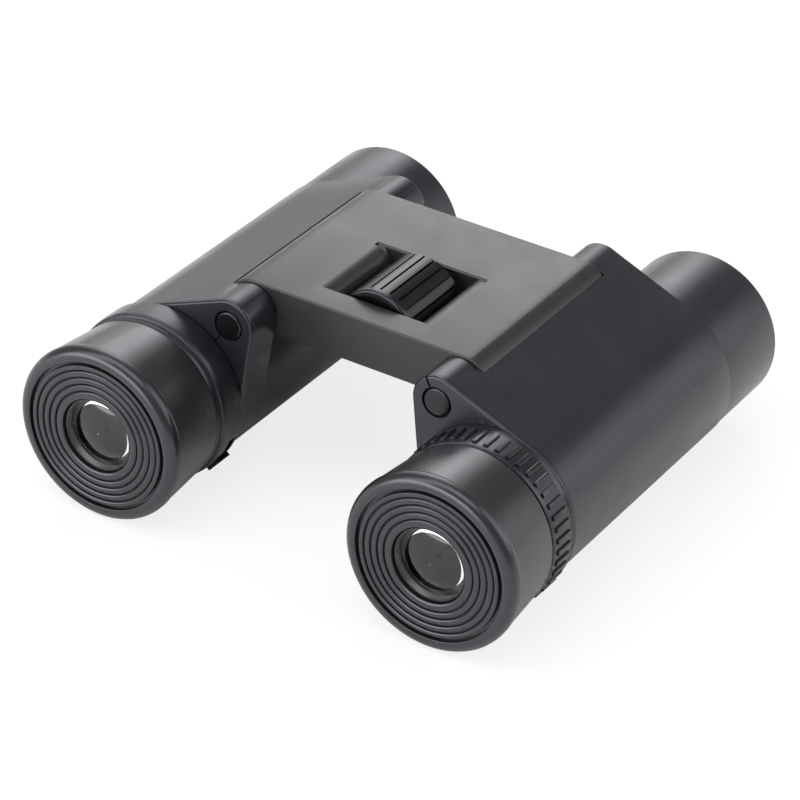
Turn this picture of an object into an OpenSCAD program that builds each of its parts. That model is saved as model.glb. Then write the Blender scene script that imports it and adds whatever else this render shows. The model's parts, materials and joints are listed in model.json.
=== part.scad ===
// Compact double-hinge roof-prism binoculars.
// X runs from the left barrel to the right one, Y from the eyes to the objectives, Z up.
// Every part is drawn by its station: the distance forward from the eyecup faces.

/* [Layout] */
// Length from the eyecup faces to the objective rims
overall_length = 101.2; // [100.6:0.2:104]
// Distance between the two barrel axes, opened as for use
barrel_spacing = 70.6; // [70:0.2:71.2]
// Distance between the two hinge axes
hinge_spacing = 44.4; // [44:0.2:44.8]
// Height of the hinge axes above the barrel axes
hinge_rise = 17; // [16.8:0.1:17.4]

/* [Bridge] */
// Station of the bridge's rear face
bridge_start = 31; // [30.8:0.1:31.2]
// Station of the bridge's front face
bridge_end = 73.9; // [73.6:0.1:74.2]
// Top face above the hinge axes
bridge_above = 5.46; // [5.3:0.02:5.6]
// Bottom face below the hinge axes
bridge_below = 4.06; // [4:0.02:4.4]
// Radius of the rounded bridge ends
bridge_end_radius = 5.65; // [5.6:0.01:5.7]
// Radius with which the window's side walls roll over into the top face
window_roll = 3.5; // [3:0.1:4]
// Station of the window's rear edge
window_start = 36.8; // [36.6:0.1:37]
// Station of the window's front edge
window_end = 56.6; // [56.2:0.1:56.8]

/* [Focus drive] */
// Radius of the focus wheel over its ribs
wheel_radius = 7.85; // [7.4:0.05:8]
// Station of the wheel's rear end
wheel_start = 37.4; // [37.3:0.1:37.8]
// Length of the focus wheel
wheel_length = 17; // [15:0.5:18]
// Number of ribs round the wheel
wheel_ribs = 24; // [18:1:30]
// Radius of the focus screw
screw_radius = 2; // [1.8:0.05:2.1]
// Station of the middle of the focus carriage
carriage_station = 65; // [64.9:0.1:65.1]
// Half of the focus travel along the barrels
focus_travel = 1.5; // [1:0.1:1.5]

/* [Barrels] */
// Outside radius of the barrel housing
housing_radius = 15.9; // [15.8:0.05:16]
// Radius of the hinge knuckles
knuckle_radius = 5.1; // [5:0.05:5.2]
// Station of the housing's rear face
housing_start = 22.7; // [22.6:0.1:22.8]
// Station of the housing's front face
housing_end = 82; // [81:0.1:84]
// Radius of the bore down the housing
bore_radius = 13.5; // [13.45:0.05:13.6]
// Radius of the hinge pins
pin_radius = 1.6; // [1.5:0.02:1.62]

/* [Objectives] */
// Outside radius of the objective tube
tube_radius = 15.7; // [15.5:0.05:15.8]
// Radius of the objective glasses
objective_radius = 12.5; // [12.2:0.05:12.55]
// Station of the front of the objective lens
objective_front = 96; // [95:0.1:96.4]

/* [Eyepieces] */
// Largest radius of the eyecup
eyecup_radius = 17.35; // [17.2:0.05:17.5]
// Radius of the eyecup where it meets the ring behind it
eyecup_tail_radius = 16.2; // [16:0.05:16.4]
// Length of the eyecup
eyecup_length = 15.2; // [15:0.1:15.3]
// Radius of the opening in the eyecup face
eye_opening = 7.5; // [7.4:0.05:7.8]
// Radius of the collar and of the dioptre ring over its ribs
ring_radius = 16.7; // [16.5:0.05:16.8]
// Number of ribs round the dioptre ring
ring_ribs = 45; // [36:1:50]

/* [Hidden] */
SIDED = [
  "housing", "objective_tube", "objective_crown", "objective_flint", "objective_ring",
  "prism_holder", "roof_prism", "half_prism", "prism_clip",
  "focus_cell", "focus_lens", "focus_arm",
  "eyepiece_tube", "eyepiece_cell", "field_lens", "eye_lens",
  "eyecup_glide_ring", "eyecup", "eyecup_sleeve",
  "hinge_pin", "hinge_caps", "strap_lug"
];

$fn = 96;
cut = 1;              // how far a cutting shape runs past a face
running = 0.05;       // radial clearance of a turning or sliding fit
snug = 0.02;          // radial clearance of a fixed fit

hinge_x = hinge_spacing / 2;
hinge = [hinge_x - barrel_spacing / 2, hinge_rise];   // seen from a barrel axis, X outwards
hinge_reach = norm(hinge);
hinge_bearing = atan2(hinge[1], hinge[0]);
web_lean = acos((housing_radius - knuckle_radius) / hinge_reach);

knuckle_gap = 0.2;
rear_knuckle_end = bridge_start - knuckle_gap;
front_knuckle_start = bridge_end + knuckle_gap;
recess_radius = bridge_end_radius + 0.25;

washer_depth = 0.3;
washer_radius = 3.5;
bush_radius = 2.6;
bush_bore = pin_radius + running;
rear_bush_length = 6;
front_bush_length = 4;

screw_bush_radius = 2.8;      // clear of the base plate below it
screw_rear = bridge_start + 1.8;
screw_bush_start = screw_rear + 0.6;
screw_front = bridge_end - 2.9;
cavity_start = window_end + 2.4;
cavity_end = bridge_end - 2.3;
cavity_half_width = 16;
cavity_top = 3.2;
plate_thickness = 1.2;
plate_top = plate_thickness - bridge_below;
plate_half_width = 18.5;
plate_start = window_end + 1;
plate_end = bridge_end - 1;
plate_screw_x = 17.3;
plate_screw_stations = [plate_start + 1.3, plate_end - 1.5];
plate_screw_radius = 0.6;
plate_screw_head = 1.05;

spool_radius = 3.3;
spool_core = 2.2;
groove_width = 2.1;
carriage_length = 5.2;
arm_tip_radius = 2.4;
arm_thickness = 2;
arm_half_width = 0.95;
focus_room = focus_travel + 0.35;

cap_radius = 2.75;
cap_proud = 0.12;
counterbore_radius = 3.05;
counterbore_depth = 1.3;
cap_stub = 0.5;
left_slit_bearing = -56;     // towards the barrel
right_slit_bearing = 118;    // away from the barrel, out through the knuckle
seam_bearing = 118;          // the mould seam along the top of both knuckles

lug_bearing = 221;
lug_length = 3.8;
lug_half_width = 1.5;
lug_foot = 14.2;
lug_top = 17.4;
lug_hole_radius = 0.7;
lug_hole_distance = 16.3;
left_lug_start = housing_start - lug_length - 0.1;
right_lug_start = housing_start + 0.7;

seat_radius = 13.4;          // eyepiece tube under the collar or the dioptre ring
seat_start = eyecup_length + 0.2;
slide_radius = 12.4;         // eyepiece tube under the eyecup
cell_bore = 10;
cell_radius = cell_bore - running;
tube_spigot = 11.45;
tube_nose = 2.6;
tube_tail = housing_start + 7.3;
sleeve_outer = 13.4;
eyecup_face = 1.2;
eyecup_rim_round = 1.5;
face_groove_radii = [for (step = [0:4]) 9.05 + 1.38 * step];
face_groove = 0.2;

dioptre_travel = 0.6;
dioptre_pin_radius = 0.6;
dioptre_pin_station = 18.9;
dioptre_swing = 66;

prism_half = 7.6;
prism_front = 56;
prism_rear = 34.2;
prism_gap = 0.4;
prism_slope = 22.5;
holder_start = 33;
holder_end = 57;

function polar(radius, bearing) = [radius * cos(bearing), radius * sin(bearing)];

// ---- Placement ----

// Station 0 at the eyecup faces, height 0 at the barrel axes.
module in_place() {
  translate([0, -overall_length / 2, eyecup_radius]) children();
}

// side is 1 for the right barrel and -1 for the left one. X points outwards from the barrel axis.
module on_barrel(side) {
  in_place() mirror([side < 0 ? 1 : 0, 0, 0]) translate([barrel_spacing / 2, 0, 0]) children();
}

module on_hinge_line() {
  translate([hinge[0], 0, hinge[1]]) children();
}

// Height 0 at the hinge axes, X 0 on the middle plane.
module on_bridge() {
  in_place() translate([0, 0, hinge_rise]) children();
}

module both_hinges() {
  for (side = [-1, 1]) translate([side * hinge_x, 0, 0]) children();
}

// ---- Solids along Y ----

module rod(radius, from, to) {
  translate([0, from, 0]) rotate([-90, 0, 0]) cylinder(r = radius, h = to - from);
}

module pipe(outer, inner, from, to) {
  difference() {
    rod(outer, from, to);
    rod(inner, from - cut, to + cut);
  }
}

// A flat shape in X and Z, pushed out from one station to another.
module slab(from, to) {
  translate([0, to, 0]) rotate([90, 0, 0]) linear_extrude(to - from) children();
}

// A profile of [radius, station] turned round the Y axis.
module turned() {
  rotate([-90, 0, 0]) rotate_extrude() children();
}

module block(half_width, from, to, low, high) {
  translate([-half_width, from, low]) cube([2 * half_width, to - from, high - low]);
}

// A lens of round edge. A curve is the radius of a face: positive bulges, negative is hollow.
// Front and back are the stations of the middles of its faces.
module lens(radius, front, back, front_curve, back_curve) {
  turned() intersection() {
    translate([0, back - 5]) square([radius, front - back + 10]);
    lens_face(radius, front, front_curve, -1);
    lens_face(radius, back, back_curve, 1);
  }
}

// Everything on the glass side of one face, with the glass lying towards inward (1 or -1).
module lens_face(radius, middle, curve, inward) {
  if (curve > 0) translate([0, middle + inward * curve]) circle(r = curve, $fn = 360);
  else difference() {
    translate([0, inward > 0 ? middle - 5 : middle - 25]) square([radius + cut, 30]);
    translate([0, middle + inward * curve]) circle(r = -curve, $fn = 360);
  }
}

// ---- Bridge ----

module bridge_outline() {
  intersection() {
    union() {
      for (side = [-1, 1]) translate([side * hinge_x, 0]) circle(r = bridge_end_radius);
      translate([-hinge_x, -2 * bridge_below]) square([hinge_spacing, 3 * bridge_above + bridge_below]);
    }
    translate([-2 * hinge_x, -bridge_below]) square([4 * hinge_x, bridge_below + bridge_above]);
  }
}

// Straight walls beside the wheel, which roll over into the top face.
module wheel_window() {
  wall = wheel_radius + 0.55;
  crest = bridge_above + 0.05;
  roll_middle = crest - window_roll;
  slab(window_start, window_end) difference() {
    union() {
      translate([-wall, -bridge_below - cut]) square([2 * wall, bridge_below + crest + cut]);
      translate([-wall - window_roll, roll_middle]) square([2 * (wall + window_roll), window_roll]);
    }
    for (side = [-1, 1]) translate([side * (wall + window_roll), roll_middle]) circle(r = window_roll);
  }
}

// The wedge in which a focus arm swings as its barrel folds.
module arm_slot() {
  slab(carriage_station - arm_thickness / 2 - focus_room, carriage_station + arm_thickness / 2 + focus_room)
    polygon([[0, 0], polar(8, -30), polar(10, -80), polar(8, -128)]);
}

module bridge_frame() {
  color("dimgray") on_bridge() difference() {
    slab(bridge_start, bridge_end) bridge_outline();
    wheel_window();
    rod(screw_radius + 0.2, screw_rear - 0.2, cavity_start + cut);
    rod(screw_bush_radius, screw_bush_start, window_start + cut);
    rod(screw_bush_radius, window_end - cut, cavity_start + cut);
    block(cavity_half_width, cavity_start, cavity_end, plate_top - cut / 2, cavity_top);
    block(plate_half_width, plate_start, plate_end, -bridge_below - cut, plate_top);
    for (side = [-1, 1]) {
      translate([side * plate_screw_x, 0, 0]) for (station = plate_screw_stations)
        translate([0, station, -bridge_below]) cylinder(r = plate_screw_radius, h = 4.5);
      mirror([side < 0 ? 1 : 0, 0, 0]) translate([hinge_x, 0, 0]) {
        rod(spool_radius + 0.2, carriage_station - carriage_length / 2 - focus_room,
            carriage_station + carriage_length / 2 + focus_room);
        arm_slot();
        rod(pin_radius + 0.3, bridge_start - cut, bridge_end + cut);
        rod(bush_radius, bridge_start - cut, bridge_start + washer_depth + rear_bush_length);
        rod(bush_radius, bridge_end - washer_depth - front_bush_length, bridge_end + cut);
        rod(washer_radius + 0.1, bridge_start - cut, bridge_start + washer_depth);
        rod(washer_radius + 0.1, bridge_end - washer_depth, bridge_end + cut);
      }
    }
    block(hinge_x, carriage_station - groove_width / 2 - focus_room,
          carriage_station + groove_width / 2 + focus_room, -1.7, 1.7);
  }
}

module bridge_base_plate() {
  color("darkslategray") on_bridge() difference() {
    block(plate_half_width - 0.1, plate_start + 0.1, plate_end - 0.1, -bridge_below, plate_top);
    for (side = [-1, 1]) for (station = plate_screw_stations)
      translate([side * plate_screw_x, station, -bridge_below]) {
        translate([0, 0, -cut]) cylinder(r = plate_screw_radius + snug, h = plate_thickness + 2 * cut);
        translate([0, 0, -cut]) cylinder(r = plate_screw_head + snug, h = cut + 0.6);
      }
  }
}

module base_plate_screws() {
  color("silver") on_bridge()
    for (side = [-1, 1]) for (station = plate_screw_stations)
      translate([side * plate_screw_x, station, -bridge_below]) difference() {
        union() {
          translate([0, 0, 0.02]) cylinder(r = plate_screw_head, h = 0.58);
          translate([0, 0, 0.02]) cylinder(r = plate_screw_radius - snug, h = 4.2);
        }
        for (turn = [0, 90]) rotate([0, 0, turn]) translate([-0.7, -0.12, -0.1]) cube([1.4, 0.24, 0.4]);
      }
}

module hinge_bushes() {
  color("goldenrod") on_bridge() both_hinges() {
    pipe(bush_radius - snug, bush_bore, bridge_start + washer_depth,
         bridge_start + washer_depth + rear_bush_length);
    pipe(bush_radius - snug, bush_bore, bridge_end - washer_depth - front_bush_length,
         bridge_end - washer_depth);
  }
}

module hinge_washers() {
  color("ivory") on_bridge() both_hinges() {
    pipe(washer_radius, bush_bore, bridge_start - knuckle_gap / 2, bridge_start + washer_depth);
    pipe(washer_radius, bush_bore, bridge_end - washer_depth, bridge_end + knuckle_gap / 2);
  }
}

module screw_bushes() {
  color("goldenrod") on_bridge() {
    pipe(screw_bush_radius - snug, screw_radius + running, screw_bush_start, window_start);
    pipe(screw_bush_radius - snug, screw_radius + running, window_end, cavity_start);
  }
}

// ---- Focus drive ----

module ribbed_outline(radius, count, groove, depth) {
  difference() {
    circle(r = radius);
    for (turn = [0:count - 1]) rotate(turn * 360 / count)
      translate([radius - depth, -groove / 2]) square([depth + cut, groove]);
  }
}

module focus_wheel() {
  rim = 1.2;
  bevel = 0.5;
  wheel_end = wheel_start + wheel_length;
  color("black") on_bridge() difference() {
    union() {
      turned() polygon([
        [0, wheel_start], [wheel_radius - bevel, wheel_start], [wheel_radius, wheel_start + bevel],
        [wheel_radius, wheel_start + rim], [0, wheel_start + rim]
      ]);
      slab(wheel_start + rim, wheel_end - bevel) ribbed_outline(wheel_radius, wheel_ribs, 0.62, 0.5);
      rod(wheel_radius - bevel, wheel_end - bevel, wheel_end);
    }
    rod(screw_radius + snug, wheel_start - cut, wheel_end + cut);
  }
}

module focus_screw() {
  thread_pitch = 0.75;
  thread_start = carriage_station - carriage_length;
  color("silver") on_bridge() difference() {
    rod(screw_radius, screw_rear, screw_front);
    for (step = [0:13]) turned()
      translate([screw_radius, thread_start + step * thread_pitch]) circle(r = 0.22, $fn = 24);
  }
}

module screw_circlip() {
  color("silver") on_bridge() difference() {
    pipe(screw_radius + 0.8, screw_radius + snug / 2, cavity_start + 0.1, cavity_start + 0.6);
    block(0.6, cavity_start, cavity_start + cut, 1, 4);
  }
}

module focus_carriage() {
  start = carriage_station - carriage_length / 2;
  end = carriage_station + carriage_length / 2;
  color("silver") on_bridge() difference() {
    union() {
      block(4.2, start, end, -2.7, 2.7);
      block(hinge_x, carriage_station - groove_width / 2, carriage_station + groove_width / 2, -1.3, 1.3);
    }
    rod(screw_radius + running, start - cut, end + cut);
    both_hinges() rod(spool_core + snug, start - cut, end + cut);
  }
}

module focus_spools() {
  start = carriage_station - carriage_length / 2;
  end = carriage_station + carriage_length / 2;
  color("goldenrod") on_bridge() both_hinges() difference() {
    union() {
      rod(spool_radius, start, carriage_station - groove_width / 2);
      rod(spool_core, start, end);
      rod(spool_radius, carriage_station + groove_width / 2, end);
    }
    rod(pin_radius + running, start - cut, end + cut);
  }
}

// ---- Barrel housing and hinge ----

module knuckle_section() {
  circle(r = housing_radius);
  translate(hinge) circle(r = knuckle_radius);
  polygon([
    polar(housing_radius, hinge_bearing - web_lean), hinge + polar(knuckle_radius, hinge_bearing - web_lean),
    hinge + polar(knuckle_radius, hinge_bearing + web_lean), polar(housing_radius, hinge_bearing + web_lean)
  ]);
}

module waist_section() {
  difference() {
    union() {
      circle(r = housing_radius);
      polygon([
        [0, 0], polar(housing_radius, hinge_bearing - web_lean),
        hinge + polar(knuckle_radius, hinge_bearing - web_lean), hinge
      ]);
    }
    translate(hinge) circle(r = recess_radius);
  }
}

module toward_hinge() {
  rotate([0, 90 - hinge_bearing, 0]) children();
}

module lug_space(start, clearance) {
  rotate([0, 90 - lug_bearing, 0])
    translate([-lug_half_width - clearance, start - clearance, lug_foot - clearance])
      cube([2 * (lug_half_width + clearance), lug_length + 2 * clearance, lug_top - lug_foot + 3 * cut]);
}

// The open groove by which a cord reaches the lug's hole from both sides.
module lug_channel(start) {
  reach = lug_half_width + 5;
  half = lug_hole_radius + 0.3;
  rotate([0, 90 - lug_bearing, 0])
    translate([-reach, start + lug_length / 2 - half, lug_hole_distance - half])
      cube([2 * reach, 2 * half, lug_top - lug_hole_distance + half + cut]);
}

// A thin cut along both knuckles, between two distances from the hinge line.
module knuckle_cut(bearing, width, near, far) {
  rotate([0, -bearing, 0])
    for (ends = [[housing_start - cut, rear_knuckle_end + cut / 4],
                 [front_knuckle_start - cut / 4, housing_end + cut]])
      translate([near, ends[0], -width / 2]) cube([far - near, ends[1] - ends[0], width]);
}

module housing(lug_start, slit_bearing) {
  rear_wall = 1.8;
  seam_depth = 0.2;
  color("slategray") difference() {
    union() {
      slab(housing_start, rear_knuckle_end) knuckle_section();
      slab(rear_knuckle_end, front_knuckle_start) waist_section();
      slab(front_knuckle_start, housing_end) knuckle_section();
    }
    rod(bore_radius, housing_start + rear_wall, housing_end + cut);
    rod(tube_spigot + snug, housing_start - cut, housing_start + rear_wall + cut);
    on_hinge_line() {
      rod(pin_radius, housing_start - cut, housing_end + cut);
      rod(counterbore_radius, housing_start - cut, housing_start + counterbore_depth);
      rod(counterbore_radius, housing_end - counterbore_depth, housing_end + cut);
      knuckle_cut(slit_bearing, 0.4, pin_radius / 2, knuckle_radius + 0.2);
      knuckle_cut(seam_bearing, 0.25, knuckle_radius - seam_depth, knuckle_radius + cut);
    }
    toward_hinge() block(arm_half_width + 0.2, carriage_station - arm_thickness / 2 - focus_room,
                         carriage_station + arm_thickness / 2 + focus_room, bore_radius - cut, hinge_reach);
    lug_space(lug_start, snug);
    lug_channel(lug_start);
  }
}

module hinge_pin() {
  color("silver") on_hinge_line()
    rod(pin_radius - snug / 2, housing_start + counterbore_depth + cap_stub,
        housing_end - counterbore_depth - cap_stub);
}

module hinge_cap(face, inward) {
  dome = 12;
  translate([0, face, 0]) mirror([0, inward < 0 ? 1 : 0, 0]) {
    turned() intersection() {
      translate([0, -cut]) square([cap_radius, cut + counterbore_depth]);
      translate([0, dome - cap_proud]) circle(r = dome, $fn = 360);
    }
    rod(pin_radius - snug / 2, counterbore_depth - 0.1, counterbore_depth + cap_stub);
  }
}

module hinge_caps() {
  color("black") on_hinge_line() {
    hinge_cap(housing_start, 1);
    hinge_cap(housing_end, -1);
  }
}

module strap_lug(start) {
  color("black") difference() {
    rotate([0, 90 - lug_bearing, 0]) translate([-lug_half_width, start, lug_foot])
      cube([2 * lug_half_width, lug_length, lug_top - lug_foot]);
    rotate([0, 90 - lug_bearing, 0])
      translate([-lug_half_width - cut, start + lug_length / 2, lug_hole_distance])
        rotate([0, 90, 0]) cylinder(r = lug_hole_radius, h = 2 * (lug_half_width + cut));
  }
}

// ---- Objective end ----

module objective_tube() {
  edge = 1;
  spigot = bore_radius - snug;
  seat = objective_radius + 0.05;
  seat_start = objective_front - 8;
  color("slategray") turned() difference() {
    union() {
      translate([0, housing_end - 6.5]) square([spigot, 7]);
      translate([0, housing_end]) square([tube_radius, overall_length - housing_end - edge]);
      translate([0, overall_length - edge - cut]) square([tube_radius - edge, edge + cut]);
      translate([tube_radius - edge, overall_length - edge]) circle(r = edge);
    }
    translate([-cut, housing_end - 8]) square([12 + cut, overall_length]);
    translate([-cut, seat_start]) square([seat + cut, overall_length]);
    polygon([[0, overall_length - 1.2], [seat, overall_length - 1.2],
             [seat + 0.9, overall_length + 0.1], [0, overall_length + 0.1]]);
  }
}

module objective_crown() {
  color("lightsteelblue") lens(objective_radius, objective_front, objective_front - 4.4, 60, 48);
}

module objective_flint() {
  color("lightsteelblue") lens(objective_radius, objective_front - 4.45, objective_front - 6.6, -48, 160);
}

module objective_ring() {
  start = objective_front - 1.1;
  end = start + 2;
  slot_depth = 0.7;
  color("black") difference() {
    pipe(objective_radius + 0.04, objective_radius - 0.8, start, end);
    for (turn = [0, 90]) rotate([0, turn, 0])
      block(0.5, end - slot_depth, end + cut, -2 * objective_radius, 2 * objective_radius);
  }
}

// ---- Prisms ----

module prism_holder() {
  aperture = 6.8;
  pocket = prism_half + 0.15;
  color("darkgray") difference() {
    rod(bore_radius - snug, holder_start, holder_end);
    rod(aperture, holder_start - cut, holder_end + cut);
    block(pocket, prism_rear - 0.1, prism_front + 0.1, -pocket, pocket + 0.6);
    toward_hinge() block(3, holder_end - 4, holder_end + cut, bore_radius - 1.4, bore_radius + cut);
  }
}

prism_shear = 2 * prism_half * tan(prism_slope);
split_top = 50;

// The entry prism: a flat face forward and a slanted one behind.
module half_prism() {
  color("lightcyan") rotate([90, 0, 90]) translate([0, 0, -prism_half]) linear_extrude(2 * prism_half)
    polygon([
      [prism_front, -prism_half], [prism_front, prism_half],
      [split_top, prism_half], [split_top - prism_shear, -prism_half]
    ]);
}

// The roof prism: two roof faces meet in a ridge at the top.
module roof_prism() {
  color("lightcyan") intersection() {
    rotate([90, 0, 90]) translate([0, 0, -prism_half]) linear_extrude(2 * prism_half)
      polygon([
        [split_top - prism_gap, prism_half], [prism_rear, prism_half], [prism_rear, -prism_half],
        [split_top - prism_gap - prism_shear, -prism_half]
      ]);
    slab(prism_rear - cut, split_top + cut)
      polygon([[-prism_half, -prism_half], [prism_half, -prism_half],
               [prism_half, 0], [0, prism_half], [-prism_half, 0]]);
  }
}

module prism_clip() {
  top = prism_half + 0.05;
  color("silver") difference() {
    block(3.2, prism_rear + 1, prism_front - 1, top, top + 0.4);
    block(1.4, prism_rear + 4, prism_front - 4, top - cut, top + cut);
  }
}

// ---- Focusing cell ----

module focus_cell() {
  half = 4.5;
  color("gray") difference() {
    rod(bore_radius - running, carriage_station - half, carriage_station + half);
    rod(10.6, carriage_station - half - cut, carriage_station + half + cut);
    rod(11.5, carriage_station - 2.65, carriage_station + half + cut);
    toward_hinge() block(arm_half_width + snug, carriage_station - arm_thickness / 2 - snug,
                         carriage_station + arm_thickness / 2 + snug, 11.9, hinge_reach);
  }
}

module focus_lens() {
  color("lightsteelblue") lens(11.45, carriage_station + 0.6, carriage_station - 1.1, -60, -45);
}

module focus_arm() {
  color("silver") toward_hinge()
    block(arm_half_width, carriage_station - arm_thickness / 2, carriage_station + arm_thickness / 2,
          11.95, hinge_reach - arm_tip_radius);
}

// ---- Eyepiece ----

module eyepiece_tube(slotted) {
  color("gray") difference() {
    turned() polygon([
      [cell_bore, tube_nose], [slide_radius, tube_nose], [slide_radius, seat_start - 0.1],
      [seat_radius, seat_start - 0.1], [seat_radius, housing_start - snug],
      [tube_spigot, housing_start - snug], [tube_spigot, tube_tail], [cell_bore, tube_tail]
    ]);
    if (slotted) rotate([0, 90 - dioptre_swing, 0]) rotate([-90, 0, 0])
      rotate_extrude(angle = 2 * dioptre_swing)
        translate([cell_bore - cut, dioptre_pin_station - dioptre_pin_radius - 0.1])
          square([seat_radius - cell_bore + 2 * cut, 2 * dioptre_pin_radius + 0.2]);
  }
}

module eyepiece_cell(grooved) {
  lip = 6.85;
  nose = 7.2;
  nose_start = 0.75;
  shoulder = 1.95;
  lens_bore = 8.6;
  throat = 7.4;
  cell_tail = 29;
  groove_half = dioptre_pin_radius + dioptre_travel + 0.1;
  color("black") turned() difference() {
    polygon([
      [lip, nose_start], [nose, nose_start], [nose, shoulder], [cell_radius, shoulder],
      [cell_radius, cell_tail], [lens_bore, cell_tail], [lens_bore, 23.2], [throat, 22.2],
      [throat, 6.5], [lens_bore, 5.6], [lens_bore, 3.28], [lip, 2.3]
    ]);
    if (grooved) translate([cell_radius - 0.75, dioptre_pin_station - groove_half])
      square([cut, 2 * groove_half]);
  }
}

module eye_lens() {
  color("lightsteelblue") mirror([0, 1, 0]) lens(8.55, -0.85, -5, 16, 60);
}

module field_lens() {
  color("lightsteelblue") mirror([0, 1, 0]) lens(8.55, -23.2, -27.6, 30, 30);
}

module eyecup() {
  color("dimgray") turned() difference() {
    union() {
      polygon([
        [eye_opening, 0], [eyecup_radius - eyecup_rim_round, 0], [eyecup_radius, eyecup_rim_round],
        [eyecup_tail_radius, eyecup_length], [sleeve_outer + snug, eyecup_length],
        [sleeve_outer + snug, eyecup_face], [eye_opening, eyecup_face]
      ]);
      translate([eyecup_radius - eyecup_rim_round, eyecup_rim_round]) circle(r = eyecup_rim_round);
    }
    for (radius = face_groove_radii) translate([radius, 0]) circle(r = face_groove, $fn = 24);
  }
}

glide_station = 10;
glide_radius = 12.8;

module eyecup_sleeve() {
  bore = slide_radius + running;
  color("black") turned() difference() {
    union() {
      translate([bore, eyecup_face]) square([sleeve_outer - bore, eyecup_length - eyecup_face - 0.2]);
      translate([10.6, eyecup_face]) square([sleeve_outer - 10.6, 0.8]);
    }
    translate([bore - cut, glide_station - 0.4]) square([cut + 0.73, 0.8]);
  }
}

module eyecup_glide_ring() {
  color("ivory") turned() translate([glide_radius, glide_station]) circle(r = 0.33, $fn = 32);
}

module left_collar_shape() {
  end = housing_start - 0.1;
  color("slategray") difference() {
    turned() polygon([
      [seat_radius + snug, seat_start], [16.1, seat_start], [16.1, seat_start + 1.5],
      [ring_radius, seat_start + 1.9], [ring_radius, end - 0.3], [ring_radius - 0.3, end],
      [seat_radius + snug, end]
    ]);
    lug_space(left_lug_start, snug);
    lug_channel(left_lug_start);
  }
}

module dioptre_ring_shape() {
  end = housing_start - 0.15;
  rear_band = 1.2;
  front_band = 1.6;
  rib_width = 1;
  rib_height = 0.45;
  rib_gap = 2 * PI * ring_radius / ring_ribs - rib_width;
  color("dimgray") difference() {
    union() {
      slab(seat_start + rear_band, end - front_band)
        ribbed_outline(ring_radius, ring_ribs, rib_gap, rib_height);
      rod(ring_radius - rib_height, seat_start, end);
    }
    rod(seat_radius + running, seat_start - cut, end + cut);
    dioptre_pin_body(snug);
  }
}

module dioptre_pin_body(clearance) {
  tip = cell_radius - 0.6;
  translate([0, dioptre_pin_station, -ring_radius + 1.2])
    cylinder(r = dioptre_pin_radius + clearance, h = ring_radius - 1.2 - tip);
}

// ---- The parts in place ----

module sided(piece, side) {
  lug_start = side < 0 ? left_lug_start : right_lug_start;
  slit_bearing = side < 0 ? left_slit_bearing : right_slit_bearing;
  on_barrel(side) {
    if (piece == "housing") housing(lug_start, slit_bearing);
    if (piece == "objective_tube") objective_tube();
    if (piece == "objective_crown") objective_crown();
    if (piece == "objective_flint") objective_flint();
    if (piece == "objective_ring") objective_ring();
    if (piece == "prism_holder") prism_holder();
    if (piece == "roof_prism") roof_prism();
    if (piece == "half_prism") half_prism();
    if (piece == "prism_clip") prism_clip();
    if (piece == "focus_cell") focus_cell();
    if (piece == "focus_lens") focus_lens();
    if (piece == "focus_arm") focus_arm();
    if (piece == "eyepiece_tube") eyepiece_tube(side > 0);
    if (piece == "eyepiece_cell") eyepiece_cell(side > 0);
    if (piece == "field_lens") field_lens();
    if (piece == "eye_lens") eye_lens();
    if (piece == "eyecup_glide_ring") eyecup_glide_ring();
    if (piece == "eyecup") eyecup();
    if (piece == "eyecup_sleeve") eyecup_sleeve();
    if (piece == "hinge_pin") hinge_pin();
    if (piece == "hinge_caps") hinge_caps();
    if (piece == "strap_lug") strap_lug(lug_start);
  }
}

bridge_frame();
bridge_base_plate();
base_plate_screws();
hinge_bushes();
hinge_washers();
screw_bushes();
focus_wheel();
focus_screw();
screw_circlip();
focus_carriage();
focus_spools();
for (piece = SIDED) {
  sided(piece, -1);
  sided(piece, 1);
}
on_barrel(-1) left_collar_shape();  // left_collar
on_barrel(1) dioptre_ring_shape();  // dioptre_ring
color("silver") on_barrel(1) dioptre_pin_body(0);  // dioptre_pin
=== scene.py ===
import json
import math

import bmesh
import bpy
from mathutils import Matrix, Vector


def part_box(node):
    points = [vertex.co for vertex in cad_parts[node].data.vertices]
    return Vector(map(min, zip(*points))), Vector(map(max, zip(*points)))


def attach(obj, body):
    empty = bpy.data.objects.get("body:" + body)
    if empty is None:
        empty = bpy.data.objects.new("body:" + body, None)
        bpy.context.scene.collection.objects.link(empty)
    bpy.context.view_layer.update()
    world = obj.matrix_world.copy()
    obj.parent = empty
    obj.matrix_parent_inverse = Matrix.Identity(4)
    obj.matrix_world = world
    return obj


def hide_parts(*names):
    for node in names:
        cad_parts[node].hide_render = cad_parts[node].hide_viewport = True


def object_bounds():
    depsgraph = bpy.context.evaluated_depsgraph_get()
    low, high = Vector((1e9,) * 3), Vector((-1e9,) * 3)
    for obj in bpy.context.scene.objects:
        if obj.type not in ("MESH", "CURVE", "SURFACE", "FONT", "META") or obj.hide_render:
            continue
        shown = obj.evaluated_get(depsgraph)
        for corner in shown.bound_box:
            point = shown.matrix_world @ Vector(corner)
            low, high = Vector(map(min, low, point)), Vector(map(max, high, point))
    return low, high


# The detailed pieces below are built over the CAD frame, which gives their places and outer sizes.
# Bores, seats and other sizes that the frame doesn't state are the CAD model's own, named here.

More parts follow.
